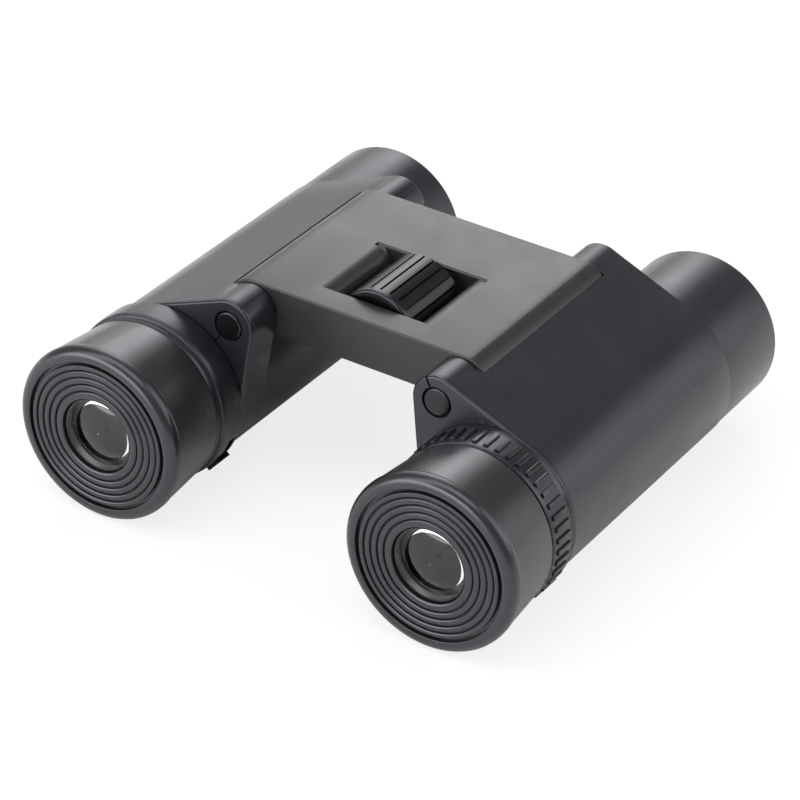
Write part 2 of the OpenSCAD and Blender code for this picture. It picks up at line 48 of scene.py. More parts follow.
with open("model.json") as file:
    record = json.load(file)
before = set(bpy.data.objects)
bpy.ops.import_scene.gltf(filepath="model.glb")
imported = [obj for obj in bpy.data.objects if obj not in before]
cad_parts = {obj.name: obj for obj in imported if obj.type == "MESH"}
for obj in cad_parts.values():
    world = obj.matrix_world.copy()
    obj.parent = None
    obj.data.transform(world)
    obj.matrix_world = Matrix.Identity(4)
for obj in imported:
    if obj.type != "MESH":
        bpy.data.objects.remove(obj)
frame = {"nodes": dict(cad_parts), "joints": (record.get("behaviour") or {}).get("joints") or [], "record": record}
cad_low, cad_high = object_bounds()
nodes = frame["nodes"]
record = frame["record"]
SLOT_OF = {part["node"]: part["material_slot"] for part in record["subparts"]}

# ---- Places taken from the frame. Lengths below are in millimetres unless a name says metres. ----

MM = 0.001
RIGHT, LEFT = 1, -1
SIDE_NAME = {RIGHT: "right", LEFT: "left"}

rim_mount = next(m for m in record["mounts"] if m["name"] == "right_objective_rim")
hinge_joint = next(j for j in frame["joints"] if j["name"] == "right_hinge")
axis_x, _, axis_z = (value / MM for value in rim_mount["pos_m"])
hinge_x, _, hinge_z = (value / MM for value in hinge_joint["pos_m"])
eye_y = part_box("right_eyecup")[0].y / MM
hinge_u, hinge_w = hinge_x - axis_x, hinge_z - axis_z


def station(y_metres):
    """Distance forward of the eyecup faces."""
    return y_metres / MM - eye_y


def span(node):
    """A node's first and last station."""
    low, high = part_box(node)
    return station(low.y), station(high.y)


def barrel_place(side):
    """Turns (outwards from the barrel axis, station, up from the axis) into the frame."""
    return lambda u, s, w: Vector((side * (axis_x + u), eye_y + s, axis_z + w)) * MM


def bridge_place(x, s, z):
    """The same on the bridge: x from the middle, z up from the hinge axes."""
    return Vector((x, eye_y + s, hinge_z + z)) * MM


housing_start, housing_end = span("right_housing")
bridge_start, bridge_end = span("bridge_frame")
wheel_start, wheel_end = span("focus_wheel")
ring_start, ring_end = span("dioptre_ring")
collar_start, collar_end = span("left_collar")
tube_end = span("right_objective_tube")[1]
eyecup_end = span("right_eyecup")[1]

carriage_middle = 65  # station of the focus carriage's middle at rest
lug_bearing = 221     # where the strap lugs stand, from the barrel's outer side upwards
beyond = 1            # how far a cutter runs past the face that it opens

# ---- Mesh helpers ----


def arc(centre, radius, first, last, steps):
    """Points along a circle, bearings in degrees."""
    bearings = [math.radians(first + (last - first) * i / steps) for i in range(steps + 1)]
    return [(centre[0] + radius * math.cos(b), centre[1] + radius * math.sin(b)) for b in bearings]


def line(start, end, steps):
    """Points along a straight line, both ends among them."""
    return [(start[0] + (end[0] - start[0]) * i / steps, start[1] + (end[1] - start[1]) * i / steps)
            for i in range(steps + 1)]


def polar(radius, bearing):
    """A point's two coordinates from its distance and its bearing in degrees."""
    return radius * math.cos(math.radians(bearing)), radius * math.sin(math.radians(bearing))


def rounded(corners, steps=5):
    """A closed outline from (a, b) or (a, b, radius) corners, with the given corners rounded."""
    outline = []
    for i, corner in enumerate(corners):
        here = Vector(corner[:2])
        if len(corner) < 3:
            outline.append(tuple(here))
            continue
        before = (Vector(corners[i - 1][:2]) - here).normalized()
        after = (Vector(corners[(i + 1) % len(corners)][:2]) - here).normalized()
        half = before.angle(after) / 2
        reach = corner[2] / math.tan(half)
        centre = here + (before + after).normalized() * corner[2] / math.sin(half)
        first, last = here + before * reach - centre, here + after * reach - centre
        for k in range(steps + 1):
            outline.append(tuple(centre + first.slerp(last, k / steps).normalized() * corner[2]))
    return outline


def shade(mesh):
    """Smooth shading, with an edge where two faces meet at more than the sharp angle."""
    sharp_angle = 32
    mesh.polygons.foreach_set("use_smooth", [True] * len(mesh.polygons))
    mesh.set_sharp_from_angle(angle=math.radians(sharp_angle))


def finish_mesh(name, vertices, faces):
    """An object from points in the frame, closed and with its faces turned outwards."""
    mesh = bpy.data.meshes.new(name)
    mesh.from_pydata(vertices, [], faces)
    work = bmesh.new()
    work.from_mesh(mesh)
    bmesh.ops.remove_doubles(work, verts=work.verts, dist=1e-7)
    bmesh.ops.dissolve_degenerate(work, edges=work.edges, dist=1e-8)
    bmesh.ops.recalc_face_normals(work, faces=work.faces)
    work.to_mesh(mesh)
    work.free()
    shade(mesh)
    piece = bpy.data.objects.new(name, mesh)
    bpy.context.scene.collection.objects.link(piece)
    return piece


def loft(name, rings, place, closed=False):
    """Joins rings of (a, s, b) points. The ends are capped, or with closed the last ring joins the first."""
    count = len(rings[0])
    vertices = [place(*point) for ring in rings for point in ring]
    faces = []
    last = len(rings) if closed else len(rings) - 1
    for r in range(last):
        here, ahead = r * count, (r + 1) % len(rings) * count
        for i in range(count):
            j = (i + 1) % count
            faces.append((here + i, here + j, ahead + j, ahead + i))
    if not closed:
        faces.append(tuple(range(count)))
        faces.append(tuple(range((len(rings) - 1) * count, len(rings) * count)))
    return finish_mesh(name, vertices, faces)


def lathe(name, profile, place, segments=216):
    """Turns a closed profile of (radius, station) round the axis."""
    rings = []
    for k in range(segments):
        turn = 2 * math.pi * k / segments
        rings.append([(r * math.cos(turn), s, r * math.sin(turn)) for r, s in profile])
    return loft(name, rings, place, closed=True)


def prism(place, outline, start, end):
    """A cutter with one outline from start to end."""
    return loft("cutter", [[(a, s, b) for a, b in outline] for s in (start, end)], place)


def rod(place, centre, radius, start, end, segments=64):
    """A round cutter."""
    return prism(place, arc(centre, radius, 0, 360, segments)[:-1], start, end)


def bar(place, bearing, centre, half_width, near, far, start, end):
    """A square-cornered cutter that points away from centre along a bearing."""
    along, across = Vector(polar(1, bearing)), Vector(polar(1, bearing + 90))
    middle = Vector(centre)
    outline = [tuple(middle + along * a + across * b)
               for a, b in ((near, -half_width), (far, -half_width), (far, half_width), (near, half_width))]
    return prism(place, outline, start, end)


def carve(piece, cutters):
    """Cuts the cutters out of the piece."""
    for cutter in cutters:
        cut = piece.modifiers.new("cut", "BOOLEAN")
        cut.object = cutter
        cut.solver = "EXACT"
    bpy.context.view_layer.update()
    graph = bpy.context.evaluated_depsgraph_get()
    mesh = bpy.data.meshes.new_from_object(piece.evaluated_get(graph))
    piece.modifiers.clear()
    piece.data = mesh
    for cutter in cutters:
        bpy.data.objects.remove(cutter)
    shade(mesh)
    return piece


# ---- Materials ----


def node_material(name):
    """A new material with its nodes and its surface shader."""
    material = bpy.data.materials.new(name)
    material.use_nodes = True
    tree = material.node_tree
    return material, tree, tree.nodes["Principled BSDF"]


def noise(tree, scale, detail, roughness=0.5, stretch=(1, 1, 1)):
    """Noise fixed to the object, with scale in waves a metre."""
    place = tree.nodes.new("ShaderNodeTexCoord")
    mapping = tree.nodes.new("ShaderNodeMapping")
    mapping.inputs["Scale"].default_value = stretch
    texture = tree.nodes.new("ShaderNodeTexNoise")
    texture.inputs["Scale"].default_value = scale
    texture.inputs["Detail"].default_value = detail
    texture.inputs["Roughness"].default_value = roughness
    tree.links.new(place.outputs["Object"], mapping.inputs["Vector"])
    tree.links.new(mapping.outputs["Vector"], texture.inputs["Vector"])
    return texture.outputs["Fac"]


def spread(tree, value, low, high):
    """Stretches the middle of a noise, where nearly all of it lies, over low to high."""
    ramp = tree.nodes.new("ShaderNodeMapRange")
    ramp.inputs["From Min"].default_value = 0.3
    ramp.inputs["From Max"].default_value = 0.7
    ramp.inputs["To Min"].default_value = low
    ramp.inputs["To Max"].default_value = high
    tree.links.new(value, ramp.inputs["Value"])
    return ramp.outputs["Result"]


def two_tones(tree, surface, share, colour, low, high):
    """The base colour, which varies between low and high times the given one."""
    tones = tree.nodes.new("ShaderNodeMix")
    tones.data_type = "RGBA"
    first, second = [socket for socket in tones.inputs if socket.type == "RGBA"]
    first.default_value = (*[c * low for c in colour], 1)
    second.default_value = (*[c * high for c in colour], 1)
    result = next(socket for socket in tones.outputs if socket.type == "RGBA")
    tree.links.new(share, tones.inputs["Factor"])
    tree.links.new(result, surface.inputs["Base Color"])


def grained(name, colour, roughness, grain_mm, grain_depth_mm, mottle=0.12, rough_spread=0.04,
            metallic=0.0, specular=0.5, tint=(1, 1, 1), stretch=(1, 1, 1)):
    """A surface with a fine grain in its bump, and a slow drift in its colour and roughness."""
    material, tree, surface = node_material(name)
    fine = noise(tree, 1 / (grain_mm * MM), 2.5, 0.55, stretch)
    slow_waves = 90
    slow = noise(tree, slow_waves, 4.0, 0.6)
    fine_share, slow_share = 0.6, 0.4
    blend = tree.nodes.new("ShaderNodeMath")
    blend.operation = "MULTIPLY_ADD"
    blend.inputs[1].default_value = fine_share
    tree.links.new(spread(tree, fine, 0, 1), blend.inputs[0])
    tree.links.new(spread(tree, slow, 0, slow_share), blend.inputs[2])
    two_tones(tree, surface, blend.outputs[0], colour, 1 - mottle, 1 + mottle)
    tree.links.new(spread(tree, slow, roughness - rough_spread, roughness + rough_spread),
                   surface.inputs["Roughness"])
    if grain_depth_mm:
        bump = tree.nodes.new("ShaderNodeBump")
        bump.inputs["Strength"].default_value = 1.0
        bump.inputs["Distance"].default_value = grain_depth_mm * MM
        tree.links.new(fine, bump.inputs["Height"])
        tree.links.new(bump.outputs["Normal"], surface.inputs["Normal"])
    surface.inputs["Metallic"].default_value = metallic
    surface.inputs["Specular IOR Level"].default_value = specular
    surface.inputs["Specular Tint"].default_value = (*tint, 1)
    return material


def glass(name, colour):
    """Clear polished glass whose tint drifts a little."""
    material, tree, surface = node_material(name)
    slow_waves, drift = 60, 0.93
    two_tones(tree, surface, noise(tree, slow_waves, 1.0), colour, 1, drift)
    surface.inputs["Roughness"].default_value = 0.0
    surface.inputs["Transmission Weight"].default_value = 1.0
    surface.inputs["IOR"].default_value = 1.52
    return material


cool, warm = (0.91, 0.90, 1.0), (0.97, 0.94, 1.0)    # tints of the sheen on the black surfaces
brushed = (1, 0.08, 1)                               # draws the grain out along the barrels

MATERIALS = {
    "armour": grained("armour", (0.013, 0.013, 0.016), 0.30, 0.16, 0.006, tint=(0.90, 0.89, 1.0)),
    "bridge_paint": grained("bridge_paint", (0.020, 0.019, 0.020), 0.34, 0.14, 0.006, specular=0.42,
                            tint=warm),
    "eyecup_plastic": grained("eyecup_plastic", (0.013, 0.0125, 0.014), 0.28, 0.16, 0.005, specular=0.62,
                              tint=cool),
    "black_plastic": grained("black_plastic", (0.008, 0.008, 0.010), 0.28, 0.2, 0.004, tint=cool),
    "gloss_black": grained("gloss_black", (0.004, 0.004, 0.005), 0.2, 0.5, 0.001, rough_spread=0.02,
                           specular=0.42, tint=(0.91, 0.92, 1.0)),
    "black_metal": grained("black_metal", (0.006, 0.006, 0.007), 0.30, 0.12, 0.003),
    "grey_metal": grained("grey_metal", (0.32, 0.32, 0.33), 0.38, 0.12, 0.002, 0.05, metallic=1.0),
    "inner_plastic": grained("inner_plastic", (0.02, 0.02, 0.021), 0.55, 0.2, 0.006),
    "spring_steel": grained("spring_steel", (0.55, 0.55, 0.56), 0.26, 0.15, 0.001, 0.05, metallic=1.0,
                            stretch=brushed),
    "brass": grained("brass", (0.72, 0.53, 0.24), 0.25, 0.15, 0.001, 0.06, metallic=1.0,
                     stretch=(1, 0.1, 1)),
    "nylon": grained("nylon", (0.72, 0.70, 0.64), 0.45, 0.3, 0.003, 0.04),
    "coated_glass": glass("coated_glass", (0.13, 0.165, 0.145)),
    "prism_glass": glass("prism_glass", (0.85, 0.9, 0.9)),
}
polished_rim = grained("polished_rim", (0.92, 0.93, 0.95), 0.06, 0.1, 0.0, 0.02, 0.01, metallic=1.0)


def coat(piece, slot):
    """Gives a piece the one material of its slot."""
    piece.data.materials.clear()
    piece.data.materials.append(MATERIALS[slot])


for name, node in nodes.items():
    coat(node, SLOT_OF[name])


def lug_cutters(side):
    """Cuts for a strap lug's seat, and for the groove that leads a cord to its eye."""
    place, name = barrel_place(side), SIDE_NAME[side]
    eye = next(m for m in record["mounts"] if m["name"] == f"{name}_strap_eye")
    x, _, z = (value / MM for value in eye["pos_m"])
    hole, half = eye["dims"]["r_mm"], eye["dims"]["length_mm"] / 2
    distance = math.hypot(abs(x) - axis_x, z - axis_z)
    start, end = span(f"{name}_strap_lug")
    clear, foot, outside = 0.02, 14.18, 20
    groove_half, groove_reach = hole + 0.3, half + 5
    middle = (start + end) / 2
    return [bar(place, lug_bearing, (0, 0), half + clear, foot, outside, start - clear, end + clear),
            bar(place, lug_bearing, (0, 0), groove_reach, distance - groove_half, outside,
                middle - groove_half, middle + groove_half)]


def stand_for(piece, body, *replaced):
    """Gives a detailed piece its finish and body, and hides the CAD nodes that it stands for."""
    slot = SLOT_OF[replaced[0]]
    coat(piece, slot)
    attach(piece, body)
    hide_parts(*replaced)
    return piece


# ---- Barrel housings ----

housing_radius = (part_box("right_housing")[1].x / MM) - axis_x
knuckle_radius = 5.1
recess_radius = 5.9       # the space round the bridge's ends
step_round = 0.15
bore_radius = 13.5
eyepiece_hole = 11.47
pin_hole = 1.6
rear_wall = 1.8
step_gap = 0.2            # between a knuckle and the bridge's end
hinge_centre = (hinge_u, hinge_w)
hinge_reach = math.hypot(hinge_u, hinge_w)
hinge_bearing = math.degrees(math.atan2(hinge_w, hinge_u))
web_lean = math.degrees(math.acos((housing_radius - knuckle_radius) / hinge_reach))
flat_bearing, under_bearing = hinge_bearing - web_lean, hinge_bearing + web_lean
rear_step, front_step = bridge_start - step_gap, bridge_end + step_gap


def bearing_of(point, centre):
    """The bearing of a point from a centre, in degrees."""
    return math.degrees(math.atan2(point[1] - centre[1], point[0] - centre[0]))


def housing_outline(waist, inset=0.0, knuckle_inset=0.0):
    """The housing's section, with the same count of points at the knuckles and at the waist."""
    barrel_steps, flat_steps, lip_steps, knuckle_steps = 144, 12, 6, 42
    barrel, knuckle = housing_radius - inset, knuckle_radius - inset
    under, flat = polar(barrel, under_bearing), polar(barrel, flat_bearing)
    along = Vector(polar(knuckle, flat_bearing)) + Vector(hinge_centre)
    lip_share = 1 - math.sqrt(recess_radius ** 2 - knuckle_radius ** 2) / (Vector(flat) - along).length
    lip = tuple(Vector(flat).lerp(along, lip_share))
    outline = arc((0, 0), barrel, under_bearing, flat_bearing + 360, barrel_steps)[:-1]
    outline += line(flat, lip, flat_steps)[:-1]
    if waist:
        overlap = (housing_radius ** 2 + hinge_reach ** 2 - recess_radius ** 2) / 2
        notch = hinge_bearing + math.degrees(math.acos(overlap / housing_radius / hinge_reach))
        bottom = polar(housing_radius, notch)
        outline += arc(hinge_centre, recess_radius, bearing_of(lip, hinge_centre),
                       bearing_of(bottom, hinge_centre), lip_steps + knuckle_steps)[:-1]
        outline += arc((0, 0), barrel, notch, under_bearing, flat_steps)[:-1]
    else:
        knuckle -= knuckle_inset
        top, low = [Vector(polar(knuckle, b)) + Vector(hinge_centre) for b in (flat_bearing, under_bearing)]
        outline += line(lip, tuple(top), lip_steps)[:-1]
        outline += arc(hinge_centre, knuckle, flat_bearing, under_bearing, knuckle_steps)[:-1]
        outline += line(tuple(low), under, flat_steps)[:-1]
    return outline


def end_rings(outline_at, face, inward, radius, steps=5):
    """Rings that round the end of a body, from its face inwards."""
    rings = []
    for k in range(steps + 1):
        turn = math.pi / 2 * k / steps
        s = face + inward * radius * (1 - math.cos(turn))
        rings.append([(a, s, b) for a, b in outline_at(radius * (1 - math.sin(turn)))])
    return rings


def parting_lines(side):
    """The fine lines along a hinge's knuckles, where the moulds met, and the one on the rear face, which
    runs up on the right barrel and down on the left."""
    place = barrel_place(side)
    top, half, depth = 119, 0.11, 0.16
    lines = []
    for start, end in ((housing_start - beyond, rear_step + 1), (front_step - 1, housing_end + beyond)):
        lines.append(bar(place, top, hinge_centre, half, knuckle_radius - depth, knuckle_radius + 1,
                         start, end))
    bearing, half, out, depth = (top, 0.22, 1, 0.9) if side == RIGHT else (-56, 0.154, 0.2, 0.5)
    lines.append(bar(place, bearing, hinge_centre, half, 2, knuckle_radius + out,
                     housing_start - beyond, housing_start + depth))
    return lines


def housing(side):
    """A barrel's shell with its web and its two hinge knuckles."""
    place = barrel_place(side)

    def ring(s, **kind):
        return [(a, s, b) for a, b in housing_outline(**kind)]

    rear_round, front_round = 0.5, 0.3
    groove, groove_depth = housing_start + 0.85, 0.07
    rings = end_rings(lambda d: housing_outline(False, d), housing_start, 1, rear_round)
    for along, depth in ((0, 0), (0.05, groove_depth), (0.13, groove_depth), (0.18, 0)):
        rings.append(ring(groove + along, waist=False, inset=depth))
    rings.append(ring(rear_step - step_round, waist=False))
    rings.append(ring(rear_step, waist=False, knuckle_inset=step_round))
    rings.append(ring(rear_step, waist=True))
    rings.append(ring(front_step, waist=True))
    rings.append(ring(front_step, waist=False, knuckle_inset=step_round))
    rings.append(ring(front_step + step_round, waist=False))
    rings += end_rings(lambda d: housing_outline(False, d), housing_end, -1, front_round)[::-1]
    body = loft(f"{SIDE_NAME[side]}_barrel_shell", rings, place)

    cutters = [
        rod(place, (0, 0), bore_radius, housing_start + rear_wall, housing_end + beyond, 128),
        rod(place, (0, 0), eyepiece_hole, housing_start - beyond, housing_start + 2, 96),
        rod(place, hinge_centre, pin_hole, housing_start - beyond, housing_end + beyond, 32),
    ]
    cap_radius, cap_depth = 3.05, 1.3
    for face, inner in ((housing_start, cap_depth), (housing_end, -cap_depth)):
        cutters.append(rod(place, hinge_centre, cap_radius, *sorted((face - inner, face + inner))))
    cutters += parting_lines(side)
    arm_half, arm_reach = 1.15, 2.85
    cutters.append(bar(place, hinge_bearing, (0, 0), arm_half, bore_radius - 1, hinge_reach,
                       carriage_middle - arm_reach, carriage_middle + arm_reach))
    carve(body, cutters + (lug_cutters(side) if side == RIGHT else []))
    return stand_for(body, f"{SIDE_NAME[side]}_barrel", f"{SIDE_NAME[side]}_housing")


# ---- Bridge ----

bridge_low, bridge_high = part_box("bridge_frame")
bridge_above = bridge_high.z / MM - hinge_z
bridge_below = hinge_z - bridge_low.z / MM
bridge_round = bridge_high.x / MM - hinge_x
window_start, window_end = 36.8, 56.6
window_wall = 8.4         # from the middle to the window's straight wall
window_ramp = 3.6         # radius of the roll from that wall into the top face


def bridge_outline(inset=0.0):
    """The bridge's section: a flat top and underside between two round ends."""
    radius = bridge_round - inset
    top = math.degrees(math.asin(min(1, (bridge_above - inset) / radius)))
    low = -math.degrees(math.asin((bridge_below - inset) / radius))
    right = arc((hinge_x, 0), radius, low, top, 36)
    left = [(-x, z) for x, z in reversed(right)]
    return right + line(right[-1], left[0], 40)[1:-1] + left + line(left[-1], right[0], 40)[1:-1]


def mirrored(right):
    """An outline from its right half, which runs down."""
    return right + [(-x, z) for x, z in reversed(right)]


def oblong(half_width, low, high):
    """A square-cornered outline, as wide on the left as on the right."""
    return [(-half_width, low), (half_width, low), (half_width, high), (-half_width, high)]


def window_cutters():
    """The wheel's window: its sides roll over into the top face, and its front edge has a chamfer."""
    chamfer = 0.35
    brink = window_wall + window_ramp
    roll = arc((brink, bridge_above - window_ramp), window_ramp, 90, 180, 14)
    outline = mirrored([(brink, bridge_above + 1)] + roll + [(window_wall, -bridge_below - 1)])
    corners = [(window_end - 1, bridge_above + 1 + chamfer), (window_end + chamfer + 0.5, bridge_above + 0.5),
               (window_end - 1, bridge_above - 1 - chamfer)]
    edge = [[(x, s, z) for s, z in corners] for x in (-brink, brink)]
    return [prism(bridge_place, outline, window_start, window_end), loft("cutter", edge, bridge_place)]


def cavity_cutters():
    """The room for the base plate, the focus carriage and the focus screw."""
    plate_low, plate_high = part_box("bridge_base_plate")
    clear = 0.1
    plate_top = plate_high.z / MM - hinge_z
    plate = oblong(plate_high.x / MM + clear, -9, plate_top)
    cavity_half, cavity_top, rear_rib, front_rib = 16, 3.2, 2.4, 2.3
    screw_hole = 2.2
    return [prism(bridge_place, plate, station(plate_low.y) - clear, station(plate_high.y) + clear),
            prism(bridge_place, oblong(cavity_half, plate_top - 0.5, cavity_top), window_end + rear_rib,
                  bridge_end - front_rib),
            rod(bridge_place, (0, 0), screw_hole, bridge_start + 1.6, window_end + 3, 48)]


def bridge_end_cutters(side):
    """The pin's hole in one end, with seats for its washers and bushes and room for the spool and the arm."""
    pin, washer, bush, spool = 1.9, 3.6, 2.6, 3.5
    washer_depth, rear_bush, front_bush = 0.3, 6.3, 4.3
    spool_reach, arm_reach = 4.45, 2.85
    centre = (side * hinge_x, 0)
    rear, front = bridge_start - beyond, bridge_end + beyond
    cutters = [rod(bridge_place, centre, radius, start, end, 48) for radius, start, end in (
        (pin, rear, front),
        (washer, rear, bridge_start + washer_depth),
        (bush, rear, bridge_start + rear_bush),
        (washer, bridge_end - washer_depth, front),
        (bush, bridge_end - front_bush, front),
        (spool, carriage_middle - spool_reach, carriage_middle + spool_reach),
    )]
    swing = [(side * (hinge_x + a), b) for a, b in [(0, 0), polar(8, -30), polar(10, -80), polar(8, -128)]]
    cutters.append(prism(bridge_place, swing, carriage_middle - arm_reach, carriage_middle + arm_reach))
    return cutters


def bridge():
    """The middle frame that the barrels hang from."""
    edge = 0.3
    rings = end_rings(bridge_outline, bridge_start, 1, edge)
    rings += end_rings(bridge_outline, bridge_end, -1, edge)[::-1]
    body = loft("bridge_body", rings, bridge_place)
    cutters = window_cutters() + cavity_cutters()
    cutters += bridge_end_cutters(RIGHT) + bridge_end_cutters(LEFT)
    slot_half, slot_rise, slot_reach = 22, 1.7, 2.9
    cutters.append(prism(bridge_place, oblong(slot_half, -slot_rise, slot_rise),
                         carriage_middle - slot_reach, carriage_middle + slot_reach))
    carve(body, cutters)
    return stand_for(body, "bridge", "bridge_frame")


# ---- Focus wheel and dioptre ring ----


def turned(points, s):
    """A ring at station s from (bearing in degrees, radius) points."""
    ring = []
    for bearing, radius in points:
        across, up = polar(radius, bearing)
        ring.append((across, s, up))
    return ring


def focus_wheel():
    """The focus wheel. Its grooves start with round ends behind the rear rim and run out at the front."""
    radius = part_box("focus_wheel")[1].x / MM
    count, bore, wall, hollow = 24, 2.02, 1.4, 0.4
    rim, rear_round, front_round = 1.25, 0.5, 0.4
    groove_half, groove_depth, least = 0.24, 0.55, 0.04
    groove_start = wheel_start + rim
    groove = ((-1.0, 0.0), (-0.55, 0.85), (-0.2, 1.0), (0.2, 1.0), (0.55, 0.85), (1.0, 0.0))

    def section(s, outer):
        run_in = min(1.0, max(0.0, s - groove_start) / groove_half)
        share = math.sqrt(1 - (1 - run_in) ** 2)
        half = math.degrees(groove_half * max(share, least) / outer)
        points = []
        for k in range(count):
            middle = 360 / count * k
            points += [(middle + offset * half, outer - depth * groove_depth * share)
                       for offset, depth in groove]
            points += [(middle + half + (360 / count - 2 * half) * part, outer)
                       for part in (0.25, 0.5, 0.75)]
        return points

    along = [(wheel_start, radius - rear_round - 0.7), (wheel_start, radius - rear_round)]
    for turn in (0.3, 0.6, 0.9, 1.2, math.pi / 2):
        along.append((wheel_start + rear_round * (1 - math.cos(turn)),
                      radius - rear_round * (1 - math.sin(turn))))
    along.append((groove_start - 0.01, radius))
    along += [(groove_start + 0.3 * part, radius) for part in (0.02, 0.1, 0.25, 0.5, 0.75, 1.0)]
    along += [(wheel_end - front_round, radius), (wheel_end - 0.1, radius - 0.28), (wheel_end, radius - 0.6)]
    rings = [turned(section(s, outer), s) for s, outer in along]
    bearings = [bearing for bearing, _ in section(*along[0])]
    for inner, s in ((bore, wheel_end), (bore, wheel_start + hollow), (radius - wall, wheel_start + hollow)):
        rings.append(turned([(bearing, inner) for bearing in bearings], s))
    wheel = loft("focus_wheel_ribbed", rings, bridge_place, closed=True)
    return stand_for(wheel, "focus_drive", "focus_wheel")


def dioptre_ring():
    """The dioptre ring with its raised grip bars, which have sloped flanks and ends."""
    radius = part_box("dioptre_ring")[1].x / MM - axis_x
    bore, height = 13.45, 0.45
    base = radius - height
    rear_band, front_band = 1.2, 1.6
    first, last = ring_start + rear_band, ring_end - front_band
    count, half_width, flank_width = 45, 0.425, 0.1

    def barred(s, rise, across):
        flank, half = math.degrees(flank_width / radius), math.degrees(across / radius)
        shoulder, edge = half + flank * 0.2, half - flank
        bar_points = [(-180 / count, base), (-half - flank, base), (-shoulder, base + rise * 0.72),
                      (-edge, base + rise * 0.96), (0, base + rise), (edge, base + rise * 0.96),
                      (shoulder, base + rise * 0.72), (half + flank, base)]
        return turned([(360 / count * k + b, r) for k in range(count) for b, r in bar_points], s)

    def plain(s, outer):
        return [(a * outer / base, s, b * outer / base) for a, _, b in barred(s, 0, half_width)]

    bar_end = ((0.0, 0.75), (0.06, 0.95), (0.16, 1.0))
    rings = [plain(ring_start + step, outer) for step, outer in (
        (0, bore), (0, base - 0.25), (0.08, base - 0.08), (0.25, base), (rear_band, base))]
    rings += [barred(first + step, height * share, half_width - 0.1 * (1 - share))
              for step, share in bar_end]
    rings += [barred(last - step, height * share, half_width - 0.1 * (1 - share))
              for step, share in reversed(bar_end)]
    rings += [plain(ring_end - step, outer) for step, outer in (
        (front_band, base), (0.35, base), (0.12, base + 0.12), (0.03, base + 0.08), (0, base - 0.1),
        (0, bore))]
    piece = loft("dioptre_ring_ribbed", rings, barrel_place(RIGHT), closed=True)
    return stand_for(piece, "dioptre_ring", "dioptre_ring")


# ---- Turned pieces ----


def eyecup(side):
    """An eyecup: four fine grooves and a deep one on its face, a soft bead round its rim, and its wall."""
    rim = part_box("right_eyecup")[1].x / MM - axis_x
    face, bore, opening, floor_depth = 0.12, 13.42, 7.5, 1.2
    first_groove, pitch, count = 9.05, 1.38, 4
    half, depth, bottom_half = 0.2, 0.42, 0.04
    profile = [(opening, floor_depth), (opening, face + 0.1, 0.1), (opening + 0.3, face - 0.04, 0.12)]
    for step in range(count):
        middle = first_groove + pitch * step
        profile += [(middle - 0.36, face - 0.05, 0.3), (middle - half, face + 0.14, 0.12),
                    (middle - bottom_half, face + depth), (middle + bottom_half, face + depth),
                    (middle + half, face + 0.02, 0.08), (middle + 0.42, face - 0.08, 0.15)]
    moat, moat_depth = 14.55, 1.1
    profile += [(moat - 0.42, face - 0.02, 0.12), (moat - 0.32, moat_depth), (moat + 0.3, moat_depth),
                (moat + 0.36, 0.06, 0.12)]
    bead_start, bead_end, bead_round, waist = 15.35, 2.3, 1.75, 0.17
    profile += [(bead_start, 0, 0.2), (rim, 0.02, bead_round), (rim, bead_end, 0.5),
                (rim - waist, bead_end + 0.45, 0.5), (16.85, 7, 8), (16.2, eyecup_end - 0.15, 0.1),
                (16.05, eyecup_end, 0.05), (bore, eyecup_end), (bore, floor_depth)]
    name = SIDE_NAME[side]
    piece = lathe(f"{name}_eyecup_ridged", rounded(profile), barrel_place(side))
    return stand_for(piece, f"{name}_eyecup", f"{name}_eyecup")


def eye_lens_rim(side):
    """The polished band round an eye lens, on the curve of the glass."""
    name = SIDE_NAME[side]
    curve, inner, outer, proud, sunk, steps = 16, 5.75, 6.84, 0.04, -0.05, 8
    apex = span(f"{name}_eye_lens")[0]

    def on_glass(radius, lift):
        return radius, apex + curve - math.sqrt(curve ** 2 - radius ** 2) - lift

    radii = [inner + (outer - inner) * i / steps for i in range(steps + 1)]
    profile = [on_glass(inner, sunk)] + [on_glass(r, proud) for r in radii] + [on_glass(outer, sunk)]
    piece = lathe(f"{name}_eye_lens_rim", profile, barrel_place(side), 144)
    piece.data.materials.append(polished_rim)
    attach(piece, f"{name}_eyepiece_cell" if side == RIGHT else f"{name}_barrel")
    return piece


def collar():
    """The plain collar in front of the left eyecup, with a bead at its rear edge."""
    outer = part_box("left_collar")[0].x / -MM - axis_x
    start, end, bore = collar_start, collar_end, 13.42
    bead, neck = 16.15, 15.9
    profile = [(bore, start), (bead - 0.15, start, 0.15), (bead, start + 0.8, 0.3),
               (neck, start + 1.1, 0.08), (neck + 0.05, start + 1.25, 0.08),
               (outer - 0.12, start + 1.4, 0.3), (outer, start + 2.4, 1.5),
               (outer - 0.02, end - 0.25, 0.2), (outer - 0.3, end, 0.1), (bore, end)]
    piece = lathe("left_collar_turned", rounded(profile, 4), barrel_place(LEFT))
    carve(piece, lug_cutters(LEFT))
    return stand_for(piece, "left_barrel", "left_collar")


def objective_tube(side):
    """The round tube in front of a housing, with a soft rim and a step down to the glass."""
    outer, spigot, seat, bore = 15.7, 13.48, 12.55, 12
    start, lap, gap, seat_start = housing_end, 6.5, 0.02, 88
    profile = [(spigot, start - lap), (spigot, start + gap), (outer - 0.1, start + gap),
               (outer, start + 0.2, 0.1), (outer, tube_end - 0.02, 0.95), (13.9, tube_end, 0.3),
               (13.4, tube_end - 0.3, 0.1), (seat, tube_end - 1.2), (seat, seat_start),
               (bore, seat_start), (bore, start - lap)]
    name = SIDE_NAME[side]
    piece = lathe(f"{name}_objective_barrel", rounded(profile, 6), barrel_place(side))
    return stand_for(piece, f"{name}_barrel", f"{name}_objective_tube")


